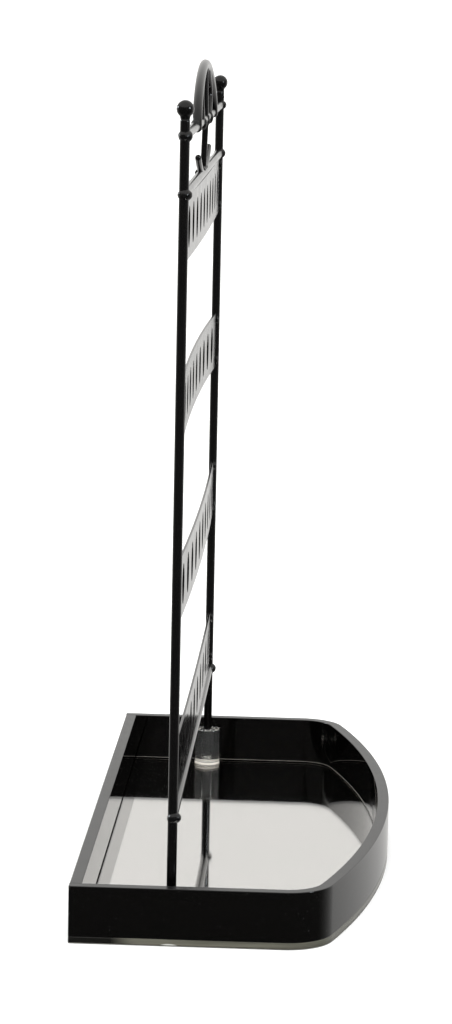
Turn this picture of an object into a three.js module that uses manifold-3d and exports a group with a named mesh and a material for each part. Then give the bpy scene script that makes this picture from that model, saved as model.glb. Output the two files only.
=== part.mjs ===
// A jewellery stand: a mirror-floored tray with two clear sockets, and a steel frame that lifts
// out of them. Millimetres, +Z up. The front is -Y and the origin is the middle of the footprint.
import * as THREE from "three";
import { mergeVertices } from "three/addons/utils/BufferGeometryUtils.js";
import Module from "manifold-3d";

const wasm = await Module();
wasm.setup();

// Tray
const TRAY_WIDTH = 320;
const TRAY_DEPTH = 130;
const SIDE_LENGTH = 87.5;
const CORNER_RADIUS = 20.5;
const BACKING_THICKNESS = 0.4;
const PLATE_THICKNESS = 2.6;
const WALL_THICKNESS = 5;
const WALL_HEIGHT = 21;

// Sockets
const SOCKET_RADIUS = 6;
const SOCKET_HEIGHT = 17.2;
const SOCKET_FLOOR = 3;
const SOCKET_CLEARANCE = 0.1;
const SOCKET_TO_WALL = 1.5;

// Frame
const POST_RADIUS = 2;
const POST_FROM_BACK = 41;
const ROD_RADIUS = 2;
const FINIAL_RADIUS = 3.55;
const FINIAL_HEIGHT = 337;
const TOP_ROD_DROP = 10.6;
const UPPER_ROD_DROP = 23.1;
const BOTTOM_ROD_HEIGHT = 50.6;
const BEAD_RADIUS = 3.1;
const SEAT_GAP = 0.2;

// Slotted strips, listed from the bottom one up
const STRIP_HEIGHT = 25.5;
const STRIP_THICKNESS = 1;
const STRIP_ABOVE_ROD = 1.2;
const STRIP_SHIFTS = [0, 1.4, -1.1, 0];
const STRIP_BOWS = [0.7, 1.7, -2.4, 1];
const SLOT_WIDTH = 12;
const SLOT_HEIGHT = 17;
const SLOT_PITCH = 26.4;
const SLOT_END_MARGIN = 12;

// Crest over the top rod
const ARCH_SPAN = 140;
const ARCH_RISE = 23.8;
const ARCH_FULLNESS = 1.75;
const WIRE_RADIUS = 1.35;
const PETAL_FOOT = 28;
const PETAL_BULGE = 12;
const PETAL_TOP = 20;
const HOOK_SPREAD = 45;
const HOOK_RISE = 9.2;
const HOOK_START = 9;

// How finely the round shapes are divided; three.js gives a full or part circle twice its curveSegments
const ROUND_SIDES = 20;
const WIRE_SIDES = 12;
const OUTLINE_STEPS = 16;
const SLOT_SIDES = 16;
const ARCH_STEPS = 32;
const PETAL_STEPS = 12;
const HOOK_STEPS = 10;
const FINIAL_STEPS = 9;
const BEAD_STEPS = 6;

// Corners closer than this are one corner
const MERGE_DISTANCE = 1e-4;

// Places worked out from the sizes
const backY = TRAY_DEPTH / 2;
const frontY = -TRAY_DEPTH / 2;
const plateTop = BACKING_THICKNESS + PLATE_THICKNESS;
const postX = TRAY_WIDTH / 2 - WALL_THICKNESS - SOCKET_TO_WALL - SOCKET_RADIUS;
const postY = backY - POST_FROM_BACK;
const socketFloorTop = plateTop + SOCKET_FLOOR;
const topRodZ = FINIAL_HEIGHT - TOP_ROD_DROP;
const upperRodZ = topRodZ - UPPER_ROD_DROP;
const finialFlatZ = FINIAL_HEIGHT - Math.sqrt(FINIAL_RADIUS ** 2 - POST_RADIUS ** 2);

const blackSteel = { color: 0x141414, roughness: 0.32, metalness: 0.85 };
const blackAcrylic = { color: 0x0c0c0c, roughness: 0.08, metalness: 0 };
const clearAcrylic = { color: 0xdfe6e2, roughness: 0.04, metalness: 0 };
const silvering = { color: 0xd9d9d6, roughness: 0.03, metalness: 1 };

function meshOf(name, geometry, look) {
  const mesh = new THREE.Mesh(geometry, new THREE.MeshStandardMaterial(look));
  mesh.name = name;
  return mesh;
}

// Boolean cuts
function solidOf(geometry) {
  const bare = geometry.clone();
  bare.deleteAttribute("normal");
  bare.deleteAttribute("uv");
  const merged = mergeVertices(bare, MERGE_DISTANCE);
  return new wasm.Manifold(
    new wasm.Mesh({
      numProp: 3,
      vertProperties: merged.attributes.position.array,
      triVerts: new Uint32Array(merged.index.array),
    }),
  );
}

function geometryOf(solid) {
  const made = solid.getMesh();
  const geometry = new THREE.BufferGeometry();
  geometry.setAttribute("position", new THREE.BufferAttribute(made.vertProperties, 3));
  geometry.setIndex(new THREE.BufferAttribute(made.triVerts, 1));
  return geometry;
}

function cut(geometry, tools) {
  const left = tools.reduce((solid, tool) => solid.subtract(solidOf(tool)), solidOf(geometry));
  return geometryOf(left);
}

// Round bars
function uprightBar(radius, x, fromZ, toZ, sides = ROUND_SIDES) {
  const bar = new THREE.CylinderGeometry(radius, radius, toZ - fromZ, sides);
  bar.rotateX(Math.PI / 2);
  return bar.translate(x, postY, (fromZ + toZ) / 2);
}

function crossBar(radius, length, z) {
  const bar = new THREE.CylinderGeometry(radius, radius, length, ROUND_SIDES);
  bar.rotateZ(Math.PI / 2);
  return bar.translate(0, postY, z);
}

function ballAt(radius, x, z) {
  return new THREE.SphereGeometry(radius, ROUND_SIDES, ROUND_SIDES / 2).translate(x, postY, z);
}

// A wire bent in the frame's own plane along a function of 0..1 that gives x and z.
class PlaneCurve extends THREE.Curve {
  constructor(place) {
    super();
    this.place = place;
  }

  getPoint(share, target = new THREE.Vector3()) {
    const [x, z] = this.place(share);
    return target.set(x, postY, z);
  }
}

function bentWire(place, radius, steps) {
  const section = new THREE.Shape().absarc(0, 0, radius, 0, 2 * Math.PI);
  return new THREE.ExtrudeGeometry(section, {
    steps,
    curveSegments: WIRE_SIDES / 2,
    extrudePath: new PlaneCurve(place),
  });
}

// Tray outline: straight sides, round front corners, one wide arc across the front
const cornerX = TRAY_WIDTH / 2 - CORNER_RADIUS;
const cornerY = backY - SIDE_LENGTH;
const cornerToFront = cornerY - frontY;
const frontRadius =
  (cornerX ** 2 + cornerToFront ** 2 - CORNER_RADIUS ** 2) / (2 * (cornerToFront - CORNER_RADIUS));
const frontCentreY = frontY + frontRadius;
const frontTurn = Math.atan2(frontCentreY - cornerY, cornerX);

function traceFront(path, inset) {
  const corner = CORNER_RADIUS - inset;
  path.lineTo(-cornerX - corner, cornerY);
  path.absarc(-cornerX, cornerY, corner, Math.PI, Math.PI + frontTurn, false);
  path.absarc(0, frontCentreY, frontRadius - inset, Math.PI + frontTurn, -frontTurn, false);
  path.absarc(cornerX, cornerY, corner, -frontTurn, 0, false);
  path.lineTo(cornerX + corner, backY);
}

function traceFrontBackwards(path, inset) {
  const corner = CORNER_RADIUS - inset;
  path.lineTo(cornerX + corner, cornerY);
  path.absarc(cornerX, cornerY, corner, 0, -frontTurn, true);
  path.absarc(0, frontCentreY, frontRadius - inset, -frontTurn, Math.PI + frontTurn, true);
  path.absarc(-cornerX, cornerY, corner, Math.PI + frontTurn, Math.PI, true);
  path.lineTo(-cornerX - corner, backY);
}

function slab(shape, fromZ, thickness) {
  const geometry = new THREE.ExtrudeGeometry(shape, {
    depth: thickness,
    bevelEnabled: false,
    curveSegments: OUTLINE_STEPS / 2,
  });
  return geometry.translate(0, 0, fromZ);
}

function floorShape() {
  const shape = new THREE.Shape();
  shape.moveTo(-TRAY_WIDTH / 2, backY);
  traceFront(shape, 0);
  return shape;
}

function bandShape() {
  const shape = new THREE.Shape();
  shape.moveTo(-TRAY_WIDTH / 2, backY);
  traceFront(shape, 0);
  shape.lineTo(TRAY_WIDTH / 2 - WALL_THICKNESS, backY);
  traceFrontBackwards(shape, WALL_THICKNESS);
  return shape;
}

function backWall() {
  const width = TRAY_WIDTH - 2 * WALL_THICKNESS;
  const wall = new THREE.BoxGeometry(width, WALL_THICKNESS, WALL_HEIGHT);
  return wall.translate(0, backY - WALL_THICKNESS / 2, plateTop + WALL_HEIGHT / 2);
}

function socket(x) {
  const bore = POST_RADIUS + SOCKET_CLEARANCE;
  const profile = [
    new THREE.Vector2(0, 0),
    new THREE.Vector2(SOCKET_RADIUS, 0),
    new THREE.Vector2(SOCKET_RADIUS, SOCKET_HEIGHT),
    new THREE.Vector2(bore, SOCKET_HEIGHT),
    new THREE.Vector2(bore, SOCKET_FLOOR),
    new THREE.Vector2(0, SOCKET_FLOOR),
  ];
  const geometry = new THREE.LatheGeometry(profile, 2 * ROUND_SIDES);
  geometry.rotateX(Math.PI / 2);
  return geometry.translate(x, postY, plateTop);
}

function tray() {
  const group = new THREE.Group();
  const wallShape = bandShape();
  group.add(meshOf("mirror_backing", slab(floorShape(), 0, BACKING_THICKNESS), silvering));
  group.add(meshOf("base_plate", slab(floorShape(), BACKING_THICKNESS, PLATE_THICKNESS), clearAcrylic));
  group.add(meshOf("wall_band", slab(wallShape, plateTop, WALL_HEIGHT), blackAcrylic));
  group.add(meshOf("back_wall", backWall(), blackAcrylic));
  group.add(meshOf("socket_left", socket(-postX), clearAcrylic));
  group.add(meshOf("socket_right", socket(postX), clearAcrylic));
  return group;
}

// A ball with a flat under it, the same radius as the post it sits on
function finial(x) {
  const startAngle = -Math.acos(POST_RADIUS / FINIAL_RADIUS);
  const arc = new THREE.EllipseCurve(0, 0, FINIAL_RADIUS, FINIAL_RADIUS, startAngle, Math.PI / 2);
  const profile = [new THREE.Vector2(0, finialFlatZ - FINIAL_HEIGHT), ...arc.getPoints(FINIAL_STEPS)];
  profile.at(-1).setX(0);
  const geometry = new THREE.LatheGeometry(profile, ROUND_SIDES);
  geometry.rotateX(Math.PI / 2);
  return geometry.translate(x, postY, FINIAL_HEIGHT);
}

// A round bead threaded on the post where a rod meets it
function jointBead(x, z) {
  const bore = POST_RADIUS + SEAT_GAP;
  const startAngle = -Math.acos(bore / BEAD_RADIUS);
  const arc = new THREE.EllipseCurve(0, 0, BEAD_RADIUS, BEAD_RADIUS, startAngle, -startAngle);
  const profile = arc.getPoints(BEAD_STEPS);
  profile.push(profile[0].clone());
  const geometry = new THREE.LatheGeometry(profile, ROUND_SIDES);
  geometry.rotateX(Math.PI / 2);
  return geometry.translate(x, postY, z);
}

function crossRod(z) {
  const beads = [-postX, postX].map((x) => ballAt(BEAD_RADIUS + SEAT_GAP, x, z));
  return cut(crossBar(ROD_RADIUS, 2 * postX, z), beads);
}

// Slotted strips
const stripLength = 2 * (postX - POST_RADIUS - SEAT_GAP);
const stripTopHighest = upperRodZ - ROD_RADIUS - SEAT_GAP;
const stripTopLowest = BOTTOM_ROD_HEIGHT + ROD_RADIUS + STRIP_ABOVE_ROD + STRIP_HEIGHT;
const slotCount =
  1 + Math.floor((stripLength - 2 * SLOT_END_MARGIN - SLOT_WIDTH) / SLOT_PITCH);

function slotCentres() {
  return Array.from({ length: slotCount }, (_, i) => (i - (slotCount - 1) / 2) * SLOT_PITCH);
}

function stripShape() {
  const half = STRIP_HEIGHT / 2;
  const stops = slotCentres().flatMap((x) => [x - SLOT_PITCH / 2, x]);
  stops.push(stops.at(-1) + SLOT_PITCH / 2);
  const shape = new THREE.Shape();
  shape.moveTo(-stripLength / 2, -half);
  stops.forEach((x) => shape.lineTo(x, -half));
  shape.lineTo(stripLength / 2, -half);
  shape.lineTo(stripLength / 2, half);
  stops.reverse().forEach((x) => shape.lineTo(x, half));
  shape.lineTo(-stripLength / 2, half);
  slotCentres().forEach((x) => {
    const slot = new THREE.Path();
    slot.absellipse(x, 0, SLOT_WIDTH / 2, SLOT_HEIGHT / 2, 0, 2 * Math.PI);
    shape.holes.push(slot);
  });
  return shape;
}

function slottedStrip(topZ, bow) {
  const geometry = new THREE.ExtrudeGeometry(stripShape(), {
    depth: STRIP_THICKNESS,
    bevelEnabled: false,
    curveSegments: SLOT_SIDES / 2,
  });
  geometry.translate(0, 0, -STRIP_THICKNESS / 2);
  geometry.rotateX(Math.PI / 2);
  const place = geometry.attributes.position;
  for (let i = 0; i < place.count; i += 1) {
    const fromMiddle = (2 * place.getX(i)) / stripLength;
    place.setY(i, place.getY(i) - bow * (1 - fromMiddle ** 2));
  }
  return geometry.translate(0, postY, topZ - STRIP_HEIGHT / 2);
}

function strips() {
  const group = new THREE.Group();
  const pitch = (stripTopHighest - stripTopLowest) / (STRIP_BOWS.length - 1);
  STRIP_BOWS.forEach((bow, i) => {
    const topZ = stripTopLowest + i * pitch + STRIP_SHIFTS[i];
    group.add(meshOf(`slotted_strip_${i + 1}`, slottedStrip(topZ, bow), blackSteel));
  });
  return group;
}

// Crest
function archPlace(share) {
  const turn = Math.PI * (1 - share);
  const across = Math.abs(Math.cos(turn)) ** (2 / ARCH_FULLNESS);
  const up = Math.abs(Math.sin(turn)) ** (2 / ARCH_FULLNESS);
  return [Math.sign(Math.cos(turn)) * across * (ARCH_SPAN / 2), topRodZ + up * ARCH_RISE];
}

function archHeightAt(x) {
  const share = (2 * Math.abs(x)) / ARCH_SPAN;
  return topRodZ + ARCH_RISE * (1 - share ** ARCH_FULLNESS) ** (1 / ARCH_FULLNESS);
}

function petalPlace(side) {
  const topZ = archHeightAt(PETAL_TOP);
  return (share) => {
    const lean = PETAL_FOOT + (PETAL_TOP - PETAL_FOOT) * share;
    const bulge = PETAL_BULGE * Math.sin(Math.PI * share);
    return [side * (lean + bulge), topRodZ + (topZ - topRodZ) * share];
  };
}

function hookPlace(side) {
  const radius = (HOOK_SPREAD ** 2 + HOOK_RISE ** 2) / (2 * HOOK_RISE);
  const from = Math.asin(HOOK_START / radius);
  const to = Math.asin(HOOK_SPREAD / radius);
  return (share) => {
    const turn = from + (to - from) * share;
    return [side * radius * Math.sin(turn), upperRodZ + radius * (1 - Math.cos(turn))];
  };
}

function crest() {
  const group = new THREE.Group();
  const clearRod = ROD_RADIUS + SEAT_GAP;
  const roundTopRod = crossBar(clearRod, 2 * postX, topRodZ);
  const roundUpperRod = crossBar(clearRod, 2 * postX, upperRodZ);
  const roundArch = bentWire(archPlace, clearRod, ARCH_STEPS);
  const arch = cut(bentWire(archPlace, ROD_RADIUS, ARCH_STEPS), [roundTopRod]);
  group.add(meshOf("crest_arch", arch, blackSteel));
  const lowerStem = uprightBar(WIRE_RADIUS, 0, upperRodZ, topRodZ, WIRE_SIDES);
  group.add(meshOf("crest_stem_lower", cut(lowerStem, [roundUpperRod, roundTopRod]), blackSteel));
  const upperStem = uprightBar(WIRE_RADIUS, 0, topRodZ, topRodZ + ARCH_RISE, WIRE_SIDES);
  group.add(meshOf("crest_stem_upper", cut(upperStem, [roundTopRod, roundArch]), blackSteel));
  [["left", -1], ["right", 1]].forEach(([name, side]) => {
    const petal = cut(bentWire(petalPlace(side), WIRE_RADIUS, PETAL_STEPS), [roundTopRod, roundArch]);
    group.add(meshOf(`crest_petal_${name}`, petal, blackSteel));
    const hook = cut(bentWire(hookPlace(side), WIRE_RADIUS, HOOK_STEPS), [roundUpperRod]);
    group.add(meshOf(`crest_hook_${name}`, hook, blackSteel));
  });
  return group;
}

function frame() {
  const group = new THREE.Group();
  const rods = [["top", topRodZ], ["upper", upperRodZ], ["bottom", BOTTOM_ROD_HEIGHT]];
  [["left", -postX], ["right", postX]].forEach(([name, x]) => {
    const post = uprightBar(POST_RADIUS, x, socketFloorTop + SEAT_GAP, finialFlatZ);
    group.add(meshOf(`post_${name}`, post, blackSteel));
    group.add(meshOf(`finial_${name}`, finial(x), blackSteel));
    rods.forEach(([rod, z]) => {
      group.add(meshOf(`joint_bead_${rod}_${name}`, jointBead(x, z), blackSteel));
    });
  });
  rods.forEach(([rod, z]) => group.add(meshOf(`${rod}_rod`, crossRod(z), blackSteel)));
  group.add(strips());
  group.add(crest());
  return group;
}

const stand = new THREE.Group();
stand.add(tray());
stand.add(frame());

export default stand;
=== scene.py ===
import math

import bmesh
import bpy
from mathutils import Matrix, Vector


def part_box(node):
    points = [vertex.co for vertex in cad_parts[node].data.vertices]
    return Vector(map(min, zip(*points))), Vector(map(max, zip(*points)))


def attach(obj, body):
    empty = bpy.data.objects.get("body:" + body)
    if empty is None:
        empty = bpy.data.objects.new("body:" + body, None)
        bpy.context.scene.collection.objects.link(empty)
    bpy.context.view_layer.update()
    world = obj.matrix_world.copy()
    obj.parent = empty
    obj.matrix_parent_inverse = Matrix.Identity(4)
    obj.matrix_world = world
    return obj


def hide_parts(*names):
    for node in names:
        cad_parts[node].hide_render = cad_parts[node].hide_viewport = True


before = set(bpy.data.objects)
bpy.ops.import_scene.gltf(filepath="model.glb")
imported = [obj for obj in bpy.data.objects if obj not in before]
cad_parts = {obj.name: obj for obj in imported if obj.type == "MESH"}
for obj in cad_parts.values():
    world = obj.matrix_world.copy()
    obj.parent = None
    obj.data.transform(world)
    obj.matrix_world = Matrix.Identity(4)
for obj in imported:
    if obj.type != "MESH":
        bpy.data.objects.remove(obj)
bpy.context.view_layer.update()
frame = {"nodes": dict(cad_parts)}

bl_info = {
    "name": "Jewellery stand",
    "version": (1, 0, 0),
    "blender": (4, 5, 0),
    "location": "3D View > Sidebar > Jewellery stand",
    "description": "Makes a mirror-floored tray and a black frame of slotted strips",
    "category": "Add Mesh",
}

SIDES = ("left", "right")
RODS = ("top", "upper", "bottom")
STRIPS = tuple(name for name in sorted(frame["nodes"]) if name.startswith("slotted_strip"))

# How many straight pieces stand for each curve
CORNER_STEPS = 24
FRONT_STEPS = 96
ARRIS_STEPS = 3
ROUND_STEPS = 64
WIRE_SIDES = 32
DOME_STEPS = 6
COLLAR_STEPS = 8
CREST_STEPS = 240
STRIP_STEPS = 145
SLOT_SIDES = 40
BEAD_SUBDIVISIONS = 5

SHARP_ANGLE = math.radians(35)
WIRE_SPACING = 0.002
WIRE_TIP_SHARE = 0.05
MERGE_DISTANCE = 0.000001
STRIP_THICKNESS = 0.001

# Shares of the foot drop for the arch and the stem, and of the bead offset for each rod
ARCH_FOOT_SHARE = 0.75
STEM_FOOT_SHARE = 1.3
BEAD_OFFSETS = (0.5, 1.0, 1.7)

# Half sizes of the small welds, along X, Y and Z
PETAL_WELD = (0.0018, 0.0018, 0.0031)
ARCH_WELD = (0.0028, 0.0021, 0.0016)
HOOK_WELD = (0.0026, 0.0019, 0.0015)
STRIP_WELD = (0.0011, 0.0012, 0.0022)
NUB = (0.0014, 0.0014, 0.0014)
SPATTER = (0.0008, 0.0008, 0.0008)
LUMPS_PER_METRE = 330.0

SOFTBOX_PLACES = {"softbox_left": (0.45, 1.4, 0.62), "softbox_right": (-0.75, -1.3, 0.62)}
SOFTBOX_TARGET = (0, 0, 0.3)
SOFTBOX_SIDE = 0.25
SOFTBOX_COLOUR = (0.88, 0.95, 1.0)
TOP_LIGHT_ANGLE = math.radians(70)
TOP_LIGHT_LEAN = math.radians(-20)

# Materials and node trees made so far, so that each is made once
MADE = {}


# Sizes and colours that a user would change

def number(name, description, default, **kind):
    """A plain number, an angle or a power."""
    return bpy.props.FloatProperty(name=name, description=description, default=default, **kind)


def metres(name, description, default):
    """A length property."""
    return number(name, description, default, precision=5, subtype="DISTANCE", unit="LENGTH")


def colour(name, description, default):
    """A colour property."""
    return bpy.props.FloatVectorProperty(
        name=name, description=description, default=default, subtype="COLOR", min=0, max=1)


def share(name, description, default):
    """A property that runs from 0 to 1."""
    return number(name, description, default, min=0, max=1, subtype="FACTOR")


def angle(name, description, degrees):
    return number(name, description, math.radians(degrees), subtype="ANGLE")


class TraySettings(bpy.types.PropertyGroup):
    """The tray's own sizes; its width, depth and heights come from the frame."""

    corner_radius: metres("Corner radius", "Outside radius of the two front corners", 0.0205)
    side_length: metres("Side length", "Straight side, from the back to the front corner", 0.0875)
    arris: metres("Arris", "Rounding of the polished sheet's edges", 0.00035)
    cement_width: metres("Cement line", "Width of the cement between wall and mirror", 0.0002)
    # The seam is partly painted shade in the crease at the back wall's foot
    seam_width: metres("Seam", "Width of the dark seam along the back wall", 0.0003)
    glue_depth: metres("Glue depth", "How far cemented pieces sink into each other", 0.00003)


class SocketSettings(bpy.types.PropertyGroup):
    """The clear sockets that hold the posts."""

    bore_radius: metres("Bore radius", "Radius of the hole that a post drops into", 0.0021)
    floor: metres("Floor", "Clear material left under the hole", 0.003)
    drill_point: metres("Drill point", "Depth of the cone that the drill left", 0.0011)
    arris: metres("Arris", "Rounding of the turned edges", 0.0004)
    cement_ring: metres("Cement ring", "Width of the cement ring at the foot", 0.0009)


class FrameSettings(bpy.types.PropertyGroup):
    """Wires, beads and strips of the lift-out frame."""

    wire_radius: metres("Ornament wire radius", "Radius of the thin wires in the crest", 0.00135)
    arch_fullness: number("Arch fullness", "2 is an ellipse, less is more pointed", 1.75, min=1)
    petal_foot: metres("Petal foot", "Distance of a petal's foot from the middle", 0.028)
    petal_bulge: metres("Petal bulge", "How far a petal swings outwards", 0.012)
    petal_top: metres("Petal top", "Distance of a petal's top from the middle", 0.020)
    hook_start: metres("Hook start", "Distance of a hook's weld from the middle", 0.009)
    hook_spread: metres("Hook spread", "Distance of a hook's tip from the middle", 0.045)
    hook_rise: metres("Hook rise", "Height of a hook's tip over its rod", 0.0092)
    slot_width: metres("Slot width", "Width of an oval slot", 0.012)
    slot_height: metres("Slot height", "Height of an oval slot", 0.017)
    slot_pitch: metres("Slot pitch", "Distance from slot to slot", 0.0264)
    slots: bpy.props.IntProperty(name="Slots", description="Slots in each strip", default=10, min=1)
    strip_lap: metres("Strip lap", "How far a strip's top reaches past its stand-in", 0.0004)
    strip_arris: metres("Strip arris", "Rounding of the stamped strip's edges", 0.00012)
    bead_forward: metres("Bead offset", "How far the joint beads sit towards the front", 0.00035)
    bead_flatness: share("Bead height", "Height of a joint bead as a share of its width", 0.86)
    foot_drop: metres("Foot drop", "How far crest feet reach below the top rod's middle", 0.0034)
    foot_forward: metres("Foot offset", "How far crest feet stand in front of its middle", 0.0007)
    lumpiness: metres("Lumpiness", "Unevenness of the welds", 0.00035)
    collar_radius: metres("Collar radius", "Radius of the weld under a finial", 0.00222)
    collar_height: metres("Collar height", "Height of the weld under a finial", 0.0012)


class FinishSettings(bpy.types.PropertyGroup):
    """Colours and gloss."""

    steel: colour("Steel coating", "Black coating of the frame", (0.0012, 0.0011, 0.0011))
    acrylic: colour("Black acrylic", "Colour of the tray's walls", (0.0012, 0.0011, 0.001))
    cut_edge: colour("Cut edge", "Colour of the walls' sawn and flamed rim", (0.006, 0.006, 0.0058))
    clear: colour("Clear acrylic", "Tint of the clear pieces", (0.95, 0.975, 0.955))
    # Painted shade and painted light for the clear sheet's rim: they stand for the light that the
    # sheet carries along from its far side
    rim_painted_shade: colour("Rim shade", "Dark streaks in the clear sheet's rim", (0.006, 0.006, 0.005))
    rim_painted_light: colour("Rim light", "Light streaks in the clear sheet's rim", (0.22, 0.215, 0.17))
    silver: colour("Silvering", "Colour of the mirror layer", (0.85, 0.83, 0.815))
    backing_paint: colour("Backing paint", "Paint over the silvering", (0.16, 0.158, 0.14))
    cement: colour("Cement", "Colour of the set cement", (0.62, 0.58, 0.52))


class StageSettings(bpy.types.PropertyGroup):
    """Floor, lights and camera."""

    floor: colour("Floor", "Colour of the floor", (0.9, 0.9, 0.9))
    floor_size: metres("Floor size", "Side of the floor", 120.0)
    surround: colour("Surroundings", "Colour of the light from all round", (1.0, 0.99, 0.97))
    far_light: share("Far light", "Light from the far side of the studio", 0.88)
    near_light: share("Near light", "Light from the side where the camera stands", 0.1)
    floor_glow: number("Floor glow", "Brightness of the mirrored floor against the studio", 1.1)
    floor_shade: share("Floor shade", "Light left on the floor near the tray, mirrored", 0.55)
    backdrop: number("Backdrop", "Brightness of the backdrop seen directly", 1.1)
    top_strength: number("Top light", "Strength of the light overhead", 3.2)
    side_power: number("Side lights", "Power of each small softbox", 6.0, unit="POWER")
    camera_place: bpy.props.FloatVectorProperty(
        name="Camera place", description="Where the camera stands", subtype="TRANSLATION",
        default=(-1.47977, -0.05047, 0.39551), precision=5)
    camera_heading: angle("Heading", "Turn to the left from straight along +X", 2.3767)
    camera_tilt: angle("Tilt", "How far the camera looks down", 9.3048)
    camera_roll: angle("Roll", "Lean of the camera", 1.167)
    lens: number("Lens", "Focal length", 118.68, unit="CAMERA")


# Shader nodes

class Value:
    """A number in a shader, which Python's arithmetic turns into Math nodes."""

    def __init__(self, tree, socket):
        self.tree = tree
        self.socket = socket

    def __add__(self, other):
        return self.tree.math("ADD", self, other)

    __radd__ = __add__

    def __mul__(self, other):
        return self.tree.math("MULTIPLY", self, other)

    __rmul__ = __mul__

    def __sub__(self, other):
        return self.tree.math("SUBTRACT", self, other)

    def __rsub__(self, other):
        return self.tree.math("SUBTRACT", other, self)

    def at_least(self, other):
        return self.tree.math("MAXIMUM", self, other)


class Tree:
    """A node tree, with one method that makes any node in it."""

    def __init__(self, nodes, links):
        self.nodes = nodes
        self.links = links

    def node(self, kind, settings=None, inputs=None, output=0):
        """Makes a node, sets it up, fills its sockets and returns one of its outputs."""
        made = self.nodes.new(kind)
        for name, setting in (settings or {}).items():
            setattr(made, name, setting)
        for key, value in (inputs or {}).items():
            self.fill(made.inputs[key], value)
        return Value(self, made.outputs[output]) if made.outputs else made

    def fill(self, socket, value):
        if isinstance(value, Value):
            self.links.new(value.socket, socket)
        else:
            socket.default_value = value

    def math(self, operation, first, second=0.0):
        return self.node("ShaderNodeMath", {"operation": operation}, {0: first, 1: second})

    def part(self, vector, axis):
        """One coordinate of a vector."""
        return self.node("ShaderNodeSeparateXYZ", {}, {0: vector}, axis)

    def ramp(self, value, start, end, first=0.0, last=1.0, kind="SMOOTHSTEP"):
        """Goes from first to last while the value goes from start to end."""
        return self.node("ShaderNodeMapRange", {"interpolation_type": kind}, {
            "Value": value, "From Min": start, "From Max": end, "To Min": first, "To Max": last})

    def blend(self, factor, first, second):
        """One colour turning into another."""
        return self.node(
            "ShaderNodeMix", {"data_type": "RGBA"},
            {"Factor": factor, "A": (*first, 1), "B": (*second, 1)}, 2)


class Finish(Tree):
    """A material that reads the piece's own coordinates."""

    def __init__(self, name):
        self.material = bpy.data.materials.new(name)
        self.material.use_nodes = True
        super().__init__(self.material.node_tree.nodes, self.material.node_tree.links)
        self.nodes.clear()
        self.place = self.node("ShaderNodeTexCoord", output="Object")

    def mottled(self, factor, colour, strength):
        """A colour that turns into a stronger or weaker one."""
        return self.blend(factor, colour, [strength * part for part in colour])

    def stretched(self, scale):
        return self.node(
            "ShaderNodeMapping", {"vector_type": "POINT"}, {"Vector": self.place, "Scale": scale})

    def noise(self, scale, detail=2.0, place=None):
        """Cloudy variation, from 0 to 1; scale is how many clouds there are in a metre."""
        return self.node("ShaderNodeTexNoise", {}, {
            "Vector": place or self.place, "Scale": scale, "Detail": detail})

    def bump(self, height, depth):
        return self.node(
            "ShaderNodeBump", {}, {"Strength": 1.0, "Distance": depth, "Height": height})

    def surface(self, **sockets):
        """Ends the material in a Principled shader; names use _ for a space."""
        inputs = {name.replace("_", " "): value for name, value in sockets.items()}
        shader = self.node("ShaderNodeBsdfPrincipled", {}, inputs)
        self.node("ShaderNodeOutputMaterial", {}, {"Surface": shader})
        return self.material


def settings():
    return bpy.context.scene.jewellery_stand


def black_steel():
    """Baked black enamel: glossy, with a little orange peel and duller clouds."""
    finish = Finish("black_steel")
    look = settings().finish
    clouds = finish.noise(70.0, 4.0)
    peel = finish.noise(900.0, 2.0)
    tone = finish.mottled(clouds, look.steel, 1.8)
    return finish.surface(
        Base_Color=tone, Roughness=0.1 + 0.1 * clouds, Normal=finish.bump(peel, 0.000012))


def weld_steel():
    """The same enamel over rough weld metal."""
    finish = Finish("coated_weld")
    look = settings().finish
    lumps = finish.noise(500.0, 3.0)
    tone = finish.mottled(lumps, look.steel, 2.2)
    return finish.surface(
        Base_Color=tone, Roughness=0.12 + 0.2 * lumps, Normal=finish.bump(lumps, 0.0001))


def black_acrylic():
    """Polished black sheet with the faint smears that handling leaves."""
    finish = Finish("black_acrylic")
    look = settings().finish
    smears = finish.noise(22.0, 3.0, finish.stretched((1.0, 1.0, 3.0)))
    dust = (finish.noise(1400.0, 1.0) - 0.72).at_least(0.0)
    tone = finish.blend(dust, look.acrylic, (0.3, 0.3, 0.29))
    return finish.surface(Base_Color=tone, Roughness=0.004 + 0.02 * smears)


def cemented_acrylic():
    """The walls' foot, which the clear cement wets, so that it has no shine."""
    finish = Finish("black_acrylic_foot")
    patches = finish.noise(90.0, 2.0)
    acrylic = settings().finish.acrylic
    tone = finish.mottled(patches, acrylic, 2.0)
    return finish.surface(Base_Color=tone, Roughness=0.8 + 0.2 * patches, Specular_IOR_Level=0.0)


def cut_acrylic():
    """The walls' rim: sawn, then flamed, so it is a little duller and has faint saw lines."""
    finish = Finish("black_acrylic_rim")
    look = settings().finish
    lines = finish.noise(160.0, 3.0, finish.stretched((1.0, 1.0, 0.1)))
    tone = finish.mottled(lines, look.cut_edge, 1.6)
    return finish.surface(
        Base_Color=tone, Roughness=0.16 + 0.1 * lines, Specular_IOR_Level=0.28,
        Normal=finish.bump(lines, 0.00001))


def clear_acrylic(name="clear_acrylic", clearness=1.0):
    """Clear sheet and rod, with hardly visible waves from casting."""
    finish = Finish(name)
    waves = finish.noise(40.0, 2.0)
    haze = finish.noise(260.0, 2.0)
    tone = finish.blend(waves, settings().finish.clear, (1.0, 1.0, 1.0))
    return finish.surface(
        Base_Color=tone, Roughness=0.01 + 0.02 * haze, IOR=1.49, Transmission_Weight=clearness,
        Normal=finish.bump(waves, 0.00001))


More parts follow.
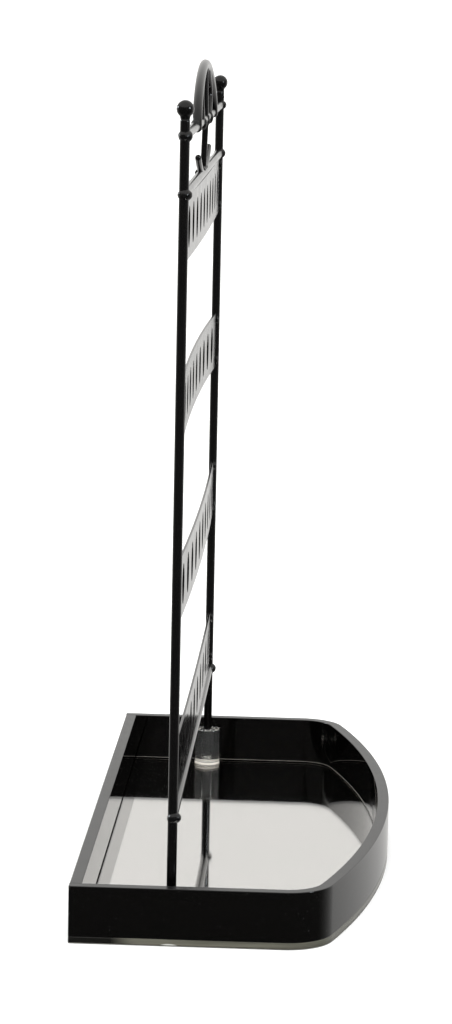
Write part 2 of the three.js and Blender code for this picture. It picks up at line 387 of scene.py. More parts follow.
def clear_edge():
    """The clear sheet's rim, painted with the light that the sheet carries along from its far side:
    streaks of painted light, painted shade darkening both corners and a painted glow where a socket
    stands.
    """
    finish = Finish("clear_acrylic_rim_painted_light")
    look = settings().finish
    along = finish.part(finish.place, "Y")
    height = finish.part(finish.place, "Z")
    streaks = finish.noise(14.0, 3.0, finish.stretched((1.0, 1.0, 40.0)))
    low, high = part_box("base_plate")
    # back and front darken the rim towards the back corner and the front corner: painted shade
    back = finish.ramp(along, high.y - 0.028, high.y - 0.016)
    front = finish.ramp(along, low.y + 0.062, low.y + 0.03)
    # shade is the share of painted light: streaky, and lower at both corners
    shade = (1.3 * streaks - 0.16).at_least(0.0) * (1 - back) * (1 - 0.4 * front)
    tone = finish.blend(shade, look.rim_painted_shade, look.rim_painted_light)
    # A pale patch low on the rim at each socket: a painted glow of the light that comes down
    # through the socket
    glow_width, glow_height = 0.0034, 0.0007
    off_post = (along - middle_of("socket_left").y) * (1 / glow_width)
    off_foot = (height - low.z) * (1 / glow_height)
    painted_glow = (1.2 - off_post * off_post - off_foot * off_foot).at_least(0.0)
    tone = finish.node(
        "ShaderNodeMix", {"data_type": "RGBA", "clamp_factor": True},
        {"Factor": painted_glow, "A": tone, "B": (0.8, 0.8, 0.76, 1)}, 2)
    return finish.surface(Base_Color=tone, Roughness=0.06 + 0.06 * streaks)


def mirror_silver():
    """Silvering seen through the clear sheet."""
    finish = Finish("silvering")
    clouds = finish.noise(14.0, 3.0)
    silver = settings().finish.silver
    tone = finish.mottled(clouds, silver, 0.97)
    return finish.surface(Base_Color=tone, Roughness=0.015 + 0.01 * clouds, Metallic=1.0)


def backing_paint():
    """Grey paint over the silvering, with a fine grain."""
    finish = Finish("backing_paint")
    grain = finish.noise(420.0, 4.0)
    paint = settings().finish.backing_paint
    tone = finish.mottled(grain, paint, 1.5)
    return finish.surface(
        Base_Color=tone, Roughness=0.45 + 0.3 * grain, Normal=finish.bump(grain, 0.00003))


def painted_light_edge():
    """The cut edge of the silvering and its paint, painted pale: painted light standing for the
    floor's light that comes out through the clear sheet's bottom edge.
    """
    finish = Finish("backing_edge_painted_light")
    chips = finish.noise(300.0, 3.0)
    tone = finish.blend(chips, (0.16, 0.16, 0.14), (0.08, 0.08, 0.07))
    return finish.surface(Base_Color=tone, Roughness=0.3 + 0.3 * chips)


def set_cement(name, tint, clearness):
    """Set acrylic cement: cloudy, with small bubbles."""
    finish = Finish(name)
    bubbles = finish.noise(900.0, 3.0)
    cement = [tint * part for part in settings().finish.cement]
    tone = finish.mottled(bubbles, cement, 0.75)
    return finish.surface(
        Base_Color=tone, Roughness=0.15 + 0.2 * bubbles, IOR=1.45, Transmission_Weight=clearness,
        Normal=finish.bump(bubbles, 0.00004))


def made_once(make, *details):
    """A material or a node tree, shared by everything that uses it."""
    if (make, details) not in MADE:
        MADE[make, details] = make(*details)
    return MADE[make, details]


# Meshes

def added(name, data):
    """A new object in the scene."""
    made = bpy.data.objects.new(name, data)
    bpy.context.scene.collection.objects.link(made)
    return made


def middle_of(node):
    low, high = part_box(node)
    return (low + high) / 2


def full_turn():
    return [2 * math.pi * i / ROUND_STEPS for i in range(ROUND_STEPS)]


def piece_from(name, mesh, body, slot, nodes, *materials):
    """Turns a mesh into a finished piece that rides on a body and stands for CAD nodes."""
    mesh.name = name
    piece = added(name, mesh)
    for material in materials:
        mesh.materials.append(material)
    mesh.shade_smooth()
    mesh.set_sharp_from_angle(angle=SHARP_ANGLE)
    piece.modifiers.new("Weighted normals", "WEIGHTED_NORMAL").keep_sharp = True
    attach(piece, body)
    if nodes:
        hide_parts(*nodes)
    return piece


def mesh_from(build):
    """A plain mesh from a bmesh, with every face turned outwards."""
    bmesh.ops.recalc_face_normals(build, faces=build.faces[:])
    mesh = bpy.data.meshes.new("solid")
    build.to_mesh(mesh)
    build.free()
    return mesh


def loft(rings, cyclic=False):
    """Joins equal rings of points in turn, and closes the ends unless it goes all round."""
    build = bmesh.new()
    loops = [[build.verts.new(point) for point in ring] for ring in rings]
    pairs = list(zip(loops, loops[1:]))
    if cyclic:
        pairs.append((loops[-1], loops[0]))
    for near, far in pairs:
        for i, corner in enumerate(near):
            build.faces.new((near[i - 1], corner, far[i], far[i - 1]))
    if not cyclic:
        build.faces.new(loops[0])
        build.faces.new(loops[-1])
    return mesh_from(build)


def turned(profile, x, y):
    """A solid turned on a lathe from (radius, height) points that start and end on the axis."""
    build = bmesh.new()
    rings = []
    for radius, height in profile:
        if radius == 0:
            rings.append([build.verts.new((x, y, height))] * ROUND_STEPS)
            continue
        rings.append([
            build.verts.new((x + radius * math.cos(turn), y + radius * math.sin(turn), height))
            for turn in full_turn()])
    for low, high in zip(rings, rings[1:]):
        for i in range(ROUND_STEPS):
            corners = dict.fromkeys((low[i - 1], low[i], high[i], high[i - 1]))
            build.faces.new(tuple(corners))
    return mesh_from(build)


def rounded(points, radius, closed=True):
    """The same outline with each corner turned into a small curve; open ends stay as they are."""
    made = []
    for i, corner in enumerate(points):
        if not closed and i in (0, len(points) - 1):
            made.append(tuple(corner))
            continue
        corner = Vector(corner)
        before = Vector(points[i - 1]) - corner
        after = Vector(points[(i + 1) % len(points)]) - corner
        start = corner + before.normalized() * min(radius, before.length / 2)
        end = corner + after.normalized() * min(radius, after.length / 2)
        for step in range(ARRIS_STEPS + 1):
            along = step / ARRIS_STEPS
            first = start.lerp(corner, along)
            made.append(tuple(first.lerp(corner.lerp(end, along), along)))
    return made


def arc(centre, radius, start, end, steps):
    """Points on an arc, ends included."""
    turns = [start + (end - start) * i / steps for i in range(steps + 1)]
    return [(centre[0] + radius * math.cos(t), centre[1] + radius * math.sin(t)) for t in turns]


# Geometry Nodes

class GeometryTree(Tree):
    """A Geometry Nodes tree with named inputs, which ends in Realize Instances and Set Material."""

    def __init__(self, name, inputs):
        self.group = bpy.data.node_groups.new(name, "GeometryNodeTree")
        super().__init__(self.group.nodes, self.group.links)
        sockets = self.group.interface
        for label, kind in {"Geometry": "Geometry", **inputs, "Finish": "Material"}.items():
            sockets.new_socket(label, in_out="INPUT", socket_type=f"NodeSocket{kind}")
        sockets.new_socket("Geometry", in_out="OUTPUT", socket_type="NodeSocketGeometry")
        self.source = self.nodes.new("NodeGroupInput")

    def given(self, label):
        return Value(self, self.source.outputs[label])

    def end(self, geometry):
        whole = self.node("GeometryNodeRealizeInstances", {}, {"Geometry": geometry})
        painted = self.node(
            "GeometryNodeSetMaterial", {}, {"Geometry": whole, "Material": self.given("Finish")})
        self.node("NodeGroupOutput", {}, {"Geometry": painted})
        return self.group

    def vector(self, **parts):
        return self.node("ShaderNodeCombineXYZ", {}, parts)

    def joined(self, first, second):
        whole = self.node("GeometryNodeJoinGeometry", {}, {0: first})
        self.links.new(second.socket, whole.socket.node.inputs[0])
        return whole


def grown(group, start, values):
    """Runs a tree on a start mesh and returns the result as a plain mesh."""
    carrier = added(group.name, start)
    modifier = carrier.modifiers.new(group.name, "NODES")
    modifier.node_group = group
    for item in group.interface.items_tree:
        if item.in_out == "INPUT" and item.name in values:
            modifier[item.identifier] = values[item.name]
    evaluated = carrier.evaluated_get(bpy.context.evaluated_depsgraph_get())
    mesh = bpy.data.meshes.new_from_object(evaluated)
    bpy.data.objects.remove(carrier)
    mesh.materials.clear()
    return mesh


def wire_tree():
    """A round wire along a path, with domed ends."""
    tree = GeometryTree("Round wire", {"Wire radius": "Float", "Sides": "Int"})
    radius = tree.given("Wire radius")
    path = tree.node("GeometryNodeMeshToCurve", {}, {"Mesh": tree.given("Geometry")})
    length = tree.node("GeometryNodeSplineParameter", output="Length")
    total = tree.node("GeometryNodeSplineLength", output="Length")
    to_end = tree.math("MINIMUM", length, total - length)
    inward = 1 - tree.math("MINIMUM", tree.math("DIVIDE", to_end, radius), 1.0)
    dome = tree.math("SQRT", 1 - inward * inward).at_least(WIRE_TIP_SHARE)
    section = tree.node("GeometryNodeCurvePrimitiveCircle", {}, {
        "Resolution": tree.given("Sides"), "Radius": radius})
    wire = tree.node(
        "GeometryNodeCurveToMesh", {},
        {"Curve": path, "Profile Curve": section, "Scale": dome, "Fill Caps": True})
    return tree.end(wire)


def strip_tree():
    """A thin upright strip with a row of oval slots, bowed along its length."""
    tree = GeometryTree("Slotted strip", {
        "Length": "Float", "Height": "Float", "Thickness": "Float", "Slot width": "Float",
        "Slot height": "Float", "Slot pitch": "Float", "Slots": "Int", "Bow": "Float",
        "Middle": "Vector"})
    given = tree.given
    length = given("Length")
    sheet = tree.node("GeometryNodeMeshGrid", {}, {
        "Size X": length, "Size Y": given("Height"),
        "Vertices X": STRIP_STEPS + 1, "Vertices Y": 2})
    faces_beside = tree.node("GeometryNodeInputMeshEdgeNeighbors", output="Face Count")
    rim = tree.node(
        "FunctionNodeCompare", {"data_type": "INT", "operation": "EQUAL"}, {2: faces_beside, 3: 1})
    edge = tree.node("GeometryNodeMeshToCurve", {}, {"Mesh": sheet, "Selection": rim})
    first = (given("Slots") - 1) * given("Slot pitch") * -0.5
    places = tree.node("GeometryNodeMeshLine", {"mode": "OFFSET"}, {
        "Count": given("Slots"), "Start Location": tree.vector(X=first),
        "Offset": tree.vector(X=given("Slot pitch"))})
    circle = tree.node(
        "GeometryNodeCurvePrimitiveCircle", {}, {"Resolution": SLOT_SIDES, "Radius": 0.5})
    oval = tree.node("GeometryNodeTransform", {}, {
        "Geometry": circle,
        "Scale": tree.vector(X=given("Slot width"), Y=given("Slot height"), Z=1.0)})
    slots = tree.node("GeometryNodeInstanceOnPoints", {}, {"Points": places, "Instance": oval})
    slots = tree.node("GeometryNodeRealizeInstances", {}, {"Geometry": slots})
    face = tree.node("GeometryNodeFillCurve", {}, {"Curve": tree.joined(edge, slots)})
    back = tree.node("GeometryNodeFlipFaces", {}, {"Mesh": face})
    front = tree.node("GeometryNodeExtrudeMesh", {"mode": "FACES"}, {
        "Mesh": face, "Offset": tree.vector(Z=1.0), "Offset Scale": given("Thickness"),
        "Individual": False})
    plate = tree.node("GeometryNodeMergeByDistance", {}, {
        "Geometry": tree.joined(front, back), "Distance": MERGE_DISTANCE})
    upright = tree.node("GeometryNodeTransform", {}, {
        "Geometry": plate, "Rotation": (math.pi / 2, 0, 0),
        "Translation": tree.vector(Y=given("Thickness") * 0.5)})
    across = tree.part(tree.node("GeometryNodeInputPosition"), "X")
    from_middle = tree.math("DIVIDE", across * 2, length)
    bulge = given("Bow") * (from_middle * from_middle - 1)
    bowed = tree.node("GeometryNodeSetPosition", {}, {
        "Geometry": upright, "Offset": tree.vector(Y=bulge)})
    return tree.end(tree.node("GeometryNodeTransform", {}, {
        "Geometry": bowed, "Translation": given("Middle")}))


def bead_tree():
    """Uneven beads of weld metal, one on each point, as large as the point's own size says."""
    tree = GeometryTree("Weld beads", {"Lumpiness": "Float", "Lumps per metre": "Float"})
    size = tree.node(
        "GeometryNodeInputNamedAttribute", {"data_type": "FLOAT_VECTOR"}, {"Name": "bead_size"})
    ball = tree.node(
        "GeometryNodeMeshIcoSphere", {}, {"Radius": 1.0, "Subdivisions": BEAD_SUBDIVISIONS})
    beads = tree.node("GeometryNodeInstanceOnPoints", {}, {
        "Points": tree.given("Geometry"), "Instance": ball, "Scale": size})
    whole = tree.node("GeometryNodeRealizeInstances", {}, {"Geometry": beads})
    lumps = tree.node("ShaderNodeTexNoise", {}, {
        "Scale": tree.given("Lumps per metre"), "Detail": 1.0})
    depth = (lumps - 0.75) * tree.given("Lumpiness") * 2
    push = tree.node("ShaderNodeVectorMath", {"operation": "SCALE"}, {
        0: tree.node("GeometryNodeInputNormal"), "Scale": depth})
    rough = tree.node("GeometryNodeSetPosition", {}, {"Geometry": whole, "Offset": push})
    return tree.end(rough)


def path_mesh(points):
    """A row of edges through points."""
    mesh = bpy.data.meshes.new("path")
    mesh.from_pydata([tuple(p) for p in points], [(i, i + 1) for i in range(len(points) - 1)], [])
    return mesh


def spaced(points, radius):
    """Walks a fine path again in even steps, with short ones at both ends for the domes."""
    points = [Vector(point) for point in points]
    lengths = [0.0]
    for first, second in zip(points, points[1:]):
        lengths.append(lengths[-1] + (second - first).length)
    total = lengths[-1]
    dome = [radius * (1 - math.cos(math.pi / 2 * i / DOME_STEPS)) for i in range(DOME_STEPS)]
    count = max(2, round((total - 2 * radius) / WIRE_SPACING))
    middle = [radius + (total - 2 * radius) * i / count for i in range(count + 1)]
    made = []
    at = 0
    for stop in dome + middle + [total - step for step in reversed(dome)]:
        while at < len(lengths) - 2 and lengths[at + 1] < stop:
            at += 1
        along = (stop - lengths[at]) / (lengths[at + 1] - lengths[at])
        made.append(points[at].lerp(points[at + 1], along))
    return made


def add_wire(name, points, radius, node):
    """A round wire of the frame along a path."""
    start = path_mesh(spaced(points, radius))
    mesh = grown(made_once(wire_tree), start, {"Wire radius": radius, "Sides": WIRE_SIDES})
    piece_from(name, mesh, "frame", "black_steel", [node], made_once(black_steel))


# Tray

def tray_outline(inset):
    """The tray's edge moved inwards, from the back left round the front to the back right."""
    tray = settings().tray
    low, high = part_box("base_plate")
    corner_x = high.x - tray.corner_radius
    corner_y = high.y - tray.side_length
    drop = corner_y - low.y
    room = 2 * (drop - tray.corner_radius)
    front_radius = (corner_x ** 2 + drop ** 2 - tray.corner_radius ** 2) / room
    centre = (0, low.y + front_radius)
    turn = math.atan2(centre[1] - corner_y, corner_x)
    corner = tray.corner_radius - inset
    front = arc(centre, front_radius - inset, math.pi + turn, 2 * math.pi - turn, FRONT_STEPS)
    return [
        (-corner_x - corner, high.y),
        *arc((-corner_x, corner_y), corner, math.pi, math.pi + turn, CORNER_STEPS),
        *front[1:-1],
        *arc((corner_x, corner_y), corner, -turn, 0, CORNER_STEPS),
        (corner_x + corner, high.y),
    ]


def sheet_mesh(low_z, high_z, arris):
    """A flat sheet with the tray's outline and rounded edges, the back one too."""
    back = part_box("base_plate")[1].y
    levels = [(arris, low_z), (0.0, low_z + arris), (0.0, high_z - arris), (arris, high_z)]
    return loft([
        [(x, min(y, back - inset), z) for x, y in tray_outline(inset)] for inset, z in levels])


def bent_mesh(section, back):
    """A section of (inset, height) points led round the tray's edge as far back as its ends."""
    outlines = [tray_outline(inset) for inset, _ in section]
    return loft([
        [(x, min(y, back), z) for (x, y), (_, z) in zip(stop, section)] for stop in zip(*outlines)])


def straight_mesh(section, start_x, end_x):
    """A section of (y, height) points led straight along X."""
    return loft([[(x, y, z) for y, z in section] for x in (start_x, end_x)])


def paint_faces(mesh, index, wanted):
    """Gives the faces whose normals are wanted their own material."""
    for face in mesh.polygons:
        if wanted(face.normal):
            face.material_index = index


class STAND_OT_tray_floor(bpy.types.Operator):
    """The clear floor sheet and the silvering under it"""

    bl_idname = "jewellery_stand.tray_floor"
    bl_label = "Tray floor"

    def execute(self, context):
        tray = settings().tray
        low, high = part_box("base_plate")
        plate = sheet_mesh(low.z, high.z, tray.arris)
        clear = made_once(clear_acrylic)
        rim = made_once(clear_edge)
        piece_from("base_plate_clear", plate, "tray", "clear_acrylic", ["base_plate"], clear, rim)
        paint_faces(plate, 1, lambda normal: abs(normal.z) < 0.9)
        backing_low, backing_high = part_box("mirror_backing")
        backing = sheet_mesh(backing_low.z, backing_high.z + tray.glue_depth, tray.glue_depth)
        paints = [made_once(kind) for kind in (backing_paint, mirror_silver, painted_light_edge)]
        piece_from("mirror_silvering", backing, "tray", "silvering", ["mirror_backing"], *paints)
        paint_faces(backing, 1, lambda normal: normal.z > 0.9)
        # The sides take the pale edge colour, which is painted light
        paint_faces(backing, 2, lambda normal: abs(normal.z) < 0.9)
        return {"FINISHED"}


class STAND_OT_tray_walls(bpy.types.Operator):
    """The bent wall, the straight back wall and the cement that holds them"""

    bl_idname = "jewellery_stand.tray_walls"
    bl_label = "Tray walls"

    def execute(self, context):
        tray = settings().tray
        low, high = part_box("wall_band")
        back_low, back_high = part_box("back_wall")
        thickness = back_high.y - back_low.y
        foot = low.z - tray.glue_depth
        self.finish_wall("wall_band", bent_mesh(
            self.wall_section(0, thickness, foot, high.z, tray.arris), high.y))
        self.finish_wall("back_wall", straight_mesh(
            self.wall_section(back_low.y, back_high.y, foot, back_high.z, tray.arris),
            back_low.x, back_high.x))
        self.add_cement(tray, thickness, low.z)
        self.add_seam(tray, back_low, back_high, low.z)
        return {"FINISHED"}

    def wall_section(self, near, far, foot, top, arris):
        return rounded([(near, foot), (far, foot), (far, top), (near, top)], arris)

    def add_seam(self, tray, low, high, foot):
        """A thin dark seam along the inside of the back wall, which widens the dark line at the
        wall's foot: partly the wall's black underside seen in the mirror, partly painted shade in
        the crease.
        """
        width = tray.seam_width
        sunk = foot - tray.glue_depth
        section = [(low.y + width, sunk), (low.y - width, sunk),
                   (low.y - width / 2, foot + width / 3), (low.y + width, foot + width / 2)]
        seam = straight_mesh(section, low.x, high.x)
        piece_from("back_wall_seam", seam, "tray", "black_acrylic", [], made_once(cemented_acrylic))

    def finish_wall(self, node, mesh):
        """Polished sides, a sawn rim and a cemented foot."""
        paints = [made_once(kind) for kind in (black_acrylic, cut_acrylic, cemented_acrylic)]
        piece_from(f"{node}_polished", mesh, "tray", "black_acrylic", [node], *paints)
        paint_faces(mesh, 1, lambda normal: normal.z > 0.9)
        paint_faces(mesh, 2, lambda normal: normal.z < -0.9)

    def add_cement(self, tray, thickness, foot):
        """A thin fillet where the bent wall stands on the mirror."""
        width = tray.cement_width
        sunk = foot - tray.glue_depth
        section = [(thickness - width, sunk), (thickness + width, sunk),
                   (thickness + width / 3, foot + width / 3), (thickness - width, foot + width)]
        cement = bent_mesh(section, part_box("back_wall")[0].y)
        cloudy = made_once(set_cement, "wall_cement", 0.5, 0.35)
        piece_from("wall_cement", cement, "tray", "clear_acrylic", [], cloudy)


class STAND_OT_sockets(bpy.types.Operator):
    """The two clear sockets, drilled for the posts, and the cement rings at their feet"""

    bl_idname = "jewellery_stand.sockets"
    bl_label = "Sockets"

    def execute(self, context):
        for side in SIDES:
            self.add_socket(settings().socket, side)
        return {"FINISHED"}

    def add_socket(self, socket, side):
        low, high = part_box(f"socket_{side}")
        x, y, _ = middle_of(f"socket_{side}")
        radius = (high.x - low.x) / 2
        floor = low.z + socket.floor
        lift = settings().tray.glue_depth
        bore = socket.bore_radius
        profile = rounded([
            (0, low.z + lift), (radius, low.z + lift), (radius, high.z), (bore, high.z),
            (bore, floor), (0, floor - socket.drill_point)], socket.arris, closed=False)
        mesh = turned(profile, x, y)
        clear = made_once(clear_acrylic, "clear_rod", 0.975)
        node = f"socket_{side}"
        piece_from(f"{node}_turned", mesh, "tray", "clear_acrylic", [node], clear)
        width = socket.cement_ring
        lip = radius + settings().tray.cement_width
        ring = [(radius - width, low.z), (lip, low.z),
                (lip, low.z + width / 2), (radius, low.z + width)]
        rings = [[(x + r * math.cos(turn), y + r * math.sin(turn), z) for r, z in ring]
                 for turn in full_turn()]
        cement = loft(rings, cyclic=True)
        cloudy = made_once(set_cement, "socket_cement", 1.45, 0.05)
        piece_from(f"socket_cement_{side}", cement, "tray", "clear_acrylic", [], cloudy)


# Frame

def rod_height(rod):
    return middle_of(f"{rod}_rod").z


def rod_radius():
    low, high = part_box("top_rod")
    return (high.z - low.z) / 2


def arch_half_span():
    low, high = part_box("crest_arch")
    return (high.x - low.x) / 2 - rod_radius()


class STAND_OT_posts(bpy.types.Operator):
    """The two posts and their ball finials"""

    bl_idname = "jewellery_stand.posts"
    bl_label = "Posts and finials"

    def execute(self, context):
        for side in SIDES:
            low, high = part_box(f"post_{side}")
            x, y, _ = middle_of(f"post_{side}")
            points = [(x, y, low.z), (x, y, high.z)]
            radius = (high.x - low.x) / 2
            add_wire(f"post_{side}_bar", points, radius, f"post_{side}")
            self.add_finial(settings().frame, side, radius)
        return {"FINISHED"}

    def add_finial(self, sizes, side, post_radius):
        low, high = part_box(f"finial_{side}")
        radius = (high.x - low.x) / 2
        centre = high.z - radius
        neck = math.acos(sizes.collar_radius / radius)
        ball = arc((0, centre), radius, math.pi / 2, -neck, ROUND_STEPS // 2)
        ball[0] = (0, high.z)
        foot = ball[-1][1] - sizes.collar_height
        spread = sizes.collar_radius - post_radius
        sunk = post_radius - settings().tray.glue_depth
        shares = [i / COLLAR_STEPS for i in range(1, COLLAR_STEPS + 1)]
        collar = [(sunk + spread * (1 - share) ** 2, ball[-1][1] + (foot - ball[-1][1]) * share)
                  for share in shares]
        x, y, _ = middle_of(f"finial_{side}")
        mesh = turned([*ball, *collar, (0, foot)], x, y)
        steel = made_once(black_steel)
        node = f"finial_{side}"
        piece_from(f"{node}_ball", mesh, "frame", "black_steel", [node], steel)


class STAND_OT_cross_rods(bpy.types.Operator):
    """The three rods between the posts"""

    bl_idname = "jewellery_stand.cross_rods"
    bl_label = "Cross rods"

    def execute(self, context):
        for rod in RODS:
            low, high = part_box(f"{rod}_rod")
            _, y, z = middle_of(f"{rod}_rod")
            points = [(low.x, y, z), (high.x, y, z)]
            add_wire(f"{rod}_rod_bar", points, rod_radius(), f"{rod}_rod")
        return {"FINISHED"}


class STAND_OT_slotted_strips(bpy.types.Operator):
    """The four strips with their rows of oval slots"""

    bl_idname = "jewellery_stand.slotted_strips"
    bl_label = "Slotted strips"

    def execute(self, context):
        sizes = settings().frame
        post_y = middle_of("post_left").y
        for name in STRIPS:
            self.add_strip(sizes, name, post_y)
        return {"FINISHED"}

    def add_strip(self, sizes, name, post_y):
        low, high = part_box(name)
        top = high.z + sizes.strip_lap
        half = STRIP_THICKNESS / 2
        bow = (post_y - half - low.y) - (high.y - post_y - half)
        mesh = grown(made_once(strip_tree), path_mesh([(0, 0, 0)]), {
            "Length": high.x - low.x, "Height": top - low.z, "Thickness": STRIP_THICKNESS,
            "Slot width": sizes.slot_width, "Slot height": sizes.slot_height,
            "Slot pitch": sizes.slot_pitch, "Slots": sizes.slots, "Bow": bow,
            "Middle": ((low.x + high.x) / 2, post_y, (low.z + top) / 2)})
        build = bmesh.new()
        build.from_mesh(mesh)
        sharp = [edge for edge in build.edges if edge.calc_face_angle(0) > SHARP_ANGLE]
        bmesh.ops.bevel(
            build, geom=sharp, offset=sizes.strip_arris, segments=2, affect="EDGES", profile=0.5,
            clamp_overlap=True)
        steel = made_once(black_steel)
        piece_from(f"{name}_stamped", mesh_from(build), "frame", "black_steel", [name], steel)


class STAND_OT_crest(bpy.types.Operator):
    """The arch, stems, petals and hooks over the top rod"""

    bl_idname = "jewellery_stand.crest"
    bl_label = "Crest"

    def execute(self, context):
        sizes = settings().frame
        self.y = middle_of("top_rod").y
        self.top = rod_height("top")
        self.upper = rod_height("upper")
        self.half_span = arch_half_span()
        self.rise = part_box("crest_arch")[1].z - rod_radius() - self.top
        self.fullness = sizes.arch_fullness
        steps = [i / CREST_STEPS for i in range(CREST_STEPS + 1)]
        arch = [self.leaned(sizes, self.arch_point(s)) for s in steps]
        ends = [self.foot(sizes, sign * self.half_span, ARCH_FOOT_SHARE) for sign in (-1, 1)]
        arch = [ends[0], *arch, ends[1]]
        add_wire("crest_arch_bar", arch, rod_radius(), "crest_arch")
        thin = sizes.wire_radius
        foot = self.foot(sizes, 0, STEM_FOOT_SHARE)
        apex = (0, self.y, self.top + self.rise)
        add_wire("crest_stem_upper_wire", [foot, apex], thin, "crest_stem_upper")
        lower = [(0, self.y, self.upper), (0, foot[1], self.top)]
        add_wire("crest_stem_lower_wire", lower, thin, "crest_stem_lower")
        for side, sign in zip(SIDES, (-1, 1)):
            petal = [self.leaned(sizes, self.petal_point(sizes, sign, s)) for s in steps]
            petal.insert(0, self.foot(sizes, petal[0][0]))
            add_wire(f"crest_petal_{side}_wire", petal, thin, f"crest_petal_{side}")
            hook = [self.hook_point(sizes, sign, s) for s in steps]
            add_wire(f"crest_hook_{side}_wire", hook, thin, f"crest_hook_{side}")
        return {"FINISHED"}

    def foot(self, sizes, x, share=1.0):
        """A wire's end, in front of the rod and a little below it."""
        return (x, self.y - sizes.foot_forward, self.top - sizes.foot_drop * share)

    def leaned(self, sizes, point):
        """The same point of the crest, leaned forwards so that its foot laps the rod's front."""
        x, y, z = point
        return (x, y - sizes.foot_forward * (1 - (z - self.top) / self.rise), z)

    def arch_point(self, share):
        turn = math.pi * (1 - share)
        across = abs(math.cos(turn)) ** (2 / self.fullness)
        up = abs(math.sin(turn)) ** (2 / self.fullness)
        x = math.copysign(across, math.cos(turn)) * self.half_span
        return (x, self.y, self.top + up * self.rise)

    def arch_height(self, x):
        share = abs(x) / self.half_span
        return self.rise * (1 - share ** self.fullness) ** (1 / self.fullness)

    def petal_point(self, sizes, sign, share):
        lean = sizes.petal_foot + (sizes.petal_top - sizes.petal_foot) * share
        bulge = sizes.petal_bulge * math.sin(math.pi * share)
        height = self.arch_height(sizes.petal_top) * share
        return (sign * (lean + bulge), self.y, self.top + height)

    def hook_point(self, sizes, sign, share):
        radius = (sizes.hook_spread ** 2 + sizes.hook_rise ** 2) / (2 * sizes.hook_rise)
        start = math.asin(sizes.hook_start / radius)
        turn = start + (math.asin(sizes.hook_spread / radius) - start) * share
        return (sign * radius * math.sin(turn), self.y, self.upper + radius * (1 - math.cos(turn)))


class STAND_OT_welds(bpy.types.Operator):
    """The beads where rods meet posts, and the small welds of the strips and the crest"""

    bl_idname = "jewellery_stand.welds"
    bl_label = "Welds"

    def execute(self, context):
        sizes = settings().frame
        low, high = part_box("joint_bead_top_left")
        radius = (high.x - low.x) / 2
        size = (radius, radius, radius * sizes.bead_flatness)
        joints = {f"joint_bead_{rod}_{side}": share * sizes.bead_forward
                  for rod, share in zip(RODS, BEAD_OFFSETS) for side in SIDES}
        beads = [(middle_of(node) - Vector((0, forward, 0)), size)
                 for node, forward in joints.items()]
        self.add_beads("joint_beads", beads, list(joints), sizes)
        self.add_beads("small_welds", self.small_welds(sizes), [], sizes)
        return {"FINISHED"}

    def small_welds(self, sizes):
        """Welds at the crest's feet and the strips' ends, a nub of weld metal and some spatter."""
        y = middle_of("top_rod").y
        rod = rod_radius()
        top, upper = rod_height("top"), rod_height("upper")
        half_span = arch_half_span()
        post_x = middle_of("post_right").x
        welds = [
            *(((x, y - 0.001, top - 0.0006), PETAL_WELD)
              for x in (-sizes.petal_foot, 0, sizes.petal_foot)),
            *(((x, y, top + rod * 0.7), ARCH_WELD) for x in (-half_span, half_span)),
            *(((x, y, upper + rod * 0.8), HOOK_WELD)
              for x in (-sizes.hook_start, 0, sizes.hook_start)),
            ((-0.016, y + 0.0016, upper + 0.0008), NUB),
            *(((post_x - 0.0009, y - 0.0015, top + z), SPATTER) for z in (0.0062, 0.0038)),
        ]
        for name in STRIPS:
            low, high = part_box(name)
            for x in (low.x + 0.0002, high.x - 0.0002):
                for z in (low.z + 0.003, high.z - 0.003):
                    welds.append(((x, y - 0.0008, z), STRIP_WELD))
        return welds

    def add_beads(self, name, beads, nodes, sizes):
        start = bpy.data.meshes.new(name)
        start.from_pydata([tuple(place) for place, _ in beads], [], [])
        attribute = start.attributes.new("bead_size", "FLOAT_VECTOR", "POINT")
        for value, (_, size) in zip(attribute.data, beads):
            value.vector = size
        mesh = grown(made_once(bead_tree), start, {
            "Lumpiness": sizes.lumpiness, "Lumps per metre": LUMPS_PER_METRE})
        piece_from(name, mesh, "frame", "black_steel", nodes, made_once(weld_steel))


# Stage

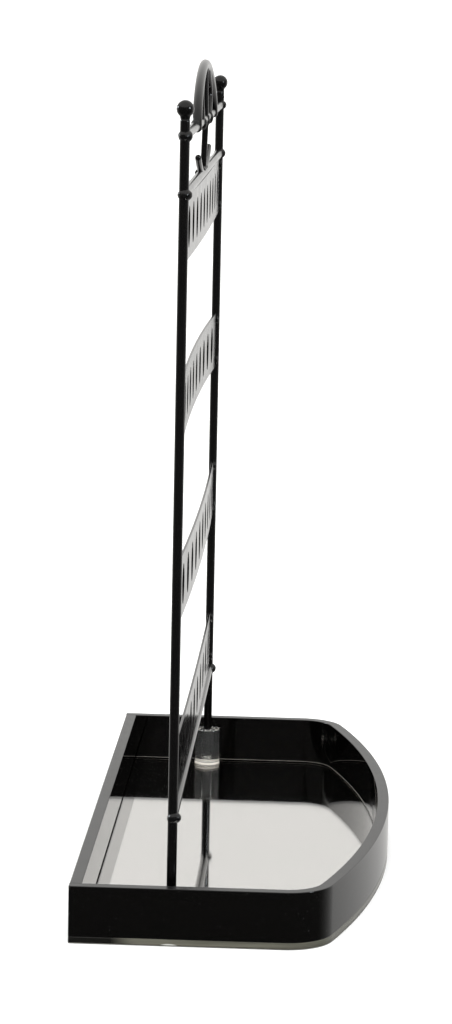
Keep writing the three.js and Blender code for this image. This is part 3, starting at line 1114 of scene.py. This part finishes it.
class STAND_OT_stage(bpy.types.Operator):
    """The floor, the soft lights and the camera"""

    bl_idname = "jewellery_stand.stage"
    bl_label = "Stage"

    def execute(self, context):
        stage = settings().stage
        self.add_floor(stage)
        self.add_surroundings(context, stage)
        self.add_top_light(stage)
        for name, place in SOFTBOX_PLACES.items():
            self.add_softbox(name, Vector(place), stage.side_power)
        self.add_camera(context, stage)
        context.scene.view_settings.view_transform = "Standard"
        return {"FINISHED"}

    def add_floor(self, stage):
        half = stage.floor_size / 2
        mesh = bpy.data.meshes.new("studio_floor")
        corners = [(-half, -half, 0), (half, -half, 0), (half, half, 0), (-half, half, 0)]
        mesh.from_pydata(corners, [], [(0, 1, 2, 3)])
        floor = added("studio_floor", mesh)
        finish = Finish("studio_floor")
        grain = finish.noise(30.0, 3.0)
        tone = finish.mottled(grain, stage.floor, 0.99)
        mesh.materials.append(
            finish.surface(Base_Color=tone, Roughness=0.75, Specular_IOR_Level=0.2))
        floor.visible_glossy = False

    def add_surroundings(self, context, stage):
        """A white studio, dark where the camera stands, with a bright backdrop."""
        world = bpy.data.worlds.new("studio_surroundings")
        world.use_nodes = True
        context.scene.world = world
        tree = Tree(world.node_tree.nodes, world.node_tree.links)
        tree.nodes.clear()
        direction = tree.node("ShaderNodeTexCoord", output="Generated")
        height = tree.part(direction, "Z")
        far_side = tree.ramp(tree.part(direction, "X"), -0.15, 0.8)
        overhead = tree.ramp(height, 0.28, 0.5)
        lit = far_side.at_least(overhead)
        light = stage.near_light + lit * (stage.far_light - stage.near_light)
        seen = tree.node("ShaderNodeLightPath", output="Is Camera Ray")
        below = tree.ramp(height, 0.0, -0.05, 1.0, stage.floor_glow, "LINEAR")
        close = tree.ramp(height, -0.18, -0.3, 1.0, stage.floor_shade)
        strength = light * below * close * (1 - seen) + seen * stage.backdrop
        glow = tree.node(
            "ShaderNodeBackground", {}, {"Color": (*stage.surround, 1), "Strength": strength})
        tree.node("ShaderNodeOutputWorld", {}, {"Surface": glow})

    def add_top_light(self, stage):
        lamp = bpy.data.lights.new("top_light", "SUN")
        lamp.energy = stage.top_strength
        lamp.angle = TOP_LIGHT_ANGLE
        top = added("top_light", lamp)
        top.matrix_world = Matrix.Rotation(TOP_LIGHT_LEAN, 4, "Y")
        top.visible_glossy = False

    def add_softbox(self, name, place, power):
        lamp = bpy.data.lights.new(name, "AREA")
        lamp.shape = "SQUARE"
        lamp.size = SOFTBOX_SIDE
        lamp.energy = power
        lamp.color = SOFTBOX_COLOUR
        box = added(name, lamp)
        aim = Vector(SOFTBOX_TARGET) - place
        turn = aim.to_track_quat("-Z", "Y").to_matrix().to_4x4()
        box.matrix_world = Matrix.Translation(place) @ turn

    def add_camera(self, context, stage):
        data = bpy.data.cameras.new("camera")
        data.lens = stage.lens
        camera = added("camera", data)
        level = math.cos(stage.camera_tilt)
        ahead = Vector((
            level * math.cos(stage.camera_heading), level * math.sin(stage.camera_heading),
            -math.sin(stage.camera_tilt)))
        turn = ahead.to_track_quat("-Z", "Y").to_matrix().to_4x4()
        lean = Matrix.Rotation(stage.camera_roll, 4, "Z")
        camera.matrix_world = Matrix.Translation(stage.camera_place) @ turn @ lean
        context.scene.camera = camera


# The add-on

class StandSettings(bpy.types.PropertyGroup):
    """All of the stand's settings."""

    tray: bpy.props.PointerProperty(type=TraySettings)
    socket: bpy.props.PointerProperty(type=SocketSettings)
    frame: bpy.props.PointerProperty(type=FrameSettings)
    finish: bpy.props.PointerProperty(type=FinishSettings)
    stage: bpy.props.PointerProperty(type=StageSettings)


OPERATORS = (
    STAND_OT_stage,
    STAND_OT_tray_floor,
    STAND_OT_tray_walls,
    STAND_OT_sockets,
    STAND_OT_posts,
    STAND_OT_cross_rods,
    STAND_OT_slotted_strips,
    STAND_OT_crest,
    STAND_OT_welds,
)


class STAND_PT_panel(bpy.types.Panel):
    """Lists the stand's pieces"""

    bl_idname = "STAND_PT_panel"
    bl_label = "Jewellery stand"
    bl_space_type = "VIEW_3D"
    bl_region_type = "UI"
    bl_category = "Jewellery stand"

    def draw(self, context):
        for operator in OPERATORS:
            self.layout.operator(operator.bl_idname)


GROUPS = (TraySettings, SocketSettings, FrameSettings, FinishSettings, StageSettings, StandSettings)


def register():
    for kind in (*GROUPS, *OPERATORS, STAND_PT_panel):
        bpy.utils.register_class(kind)
    bpy.types.Scene.jewellery_stand = bpy.props.PointerProperty(type=StandSettings)


def unregister():
    del bpy.types.Scene.jewellery_stand
    for kind in reversed((*GROUPS, *OPERATORS, STAND_PT_panel)):
        bpy.utils.unregister_class(kind)


def main():
    register()
    for operator in OPERATORS:
        name = operator.bl_idname.split(".")[1]
        getattr(bpy.ops.jewellery_stand, name)()
    bpy.context.view_layer.update()


if __name__ == "__main__":
    main()
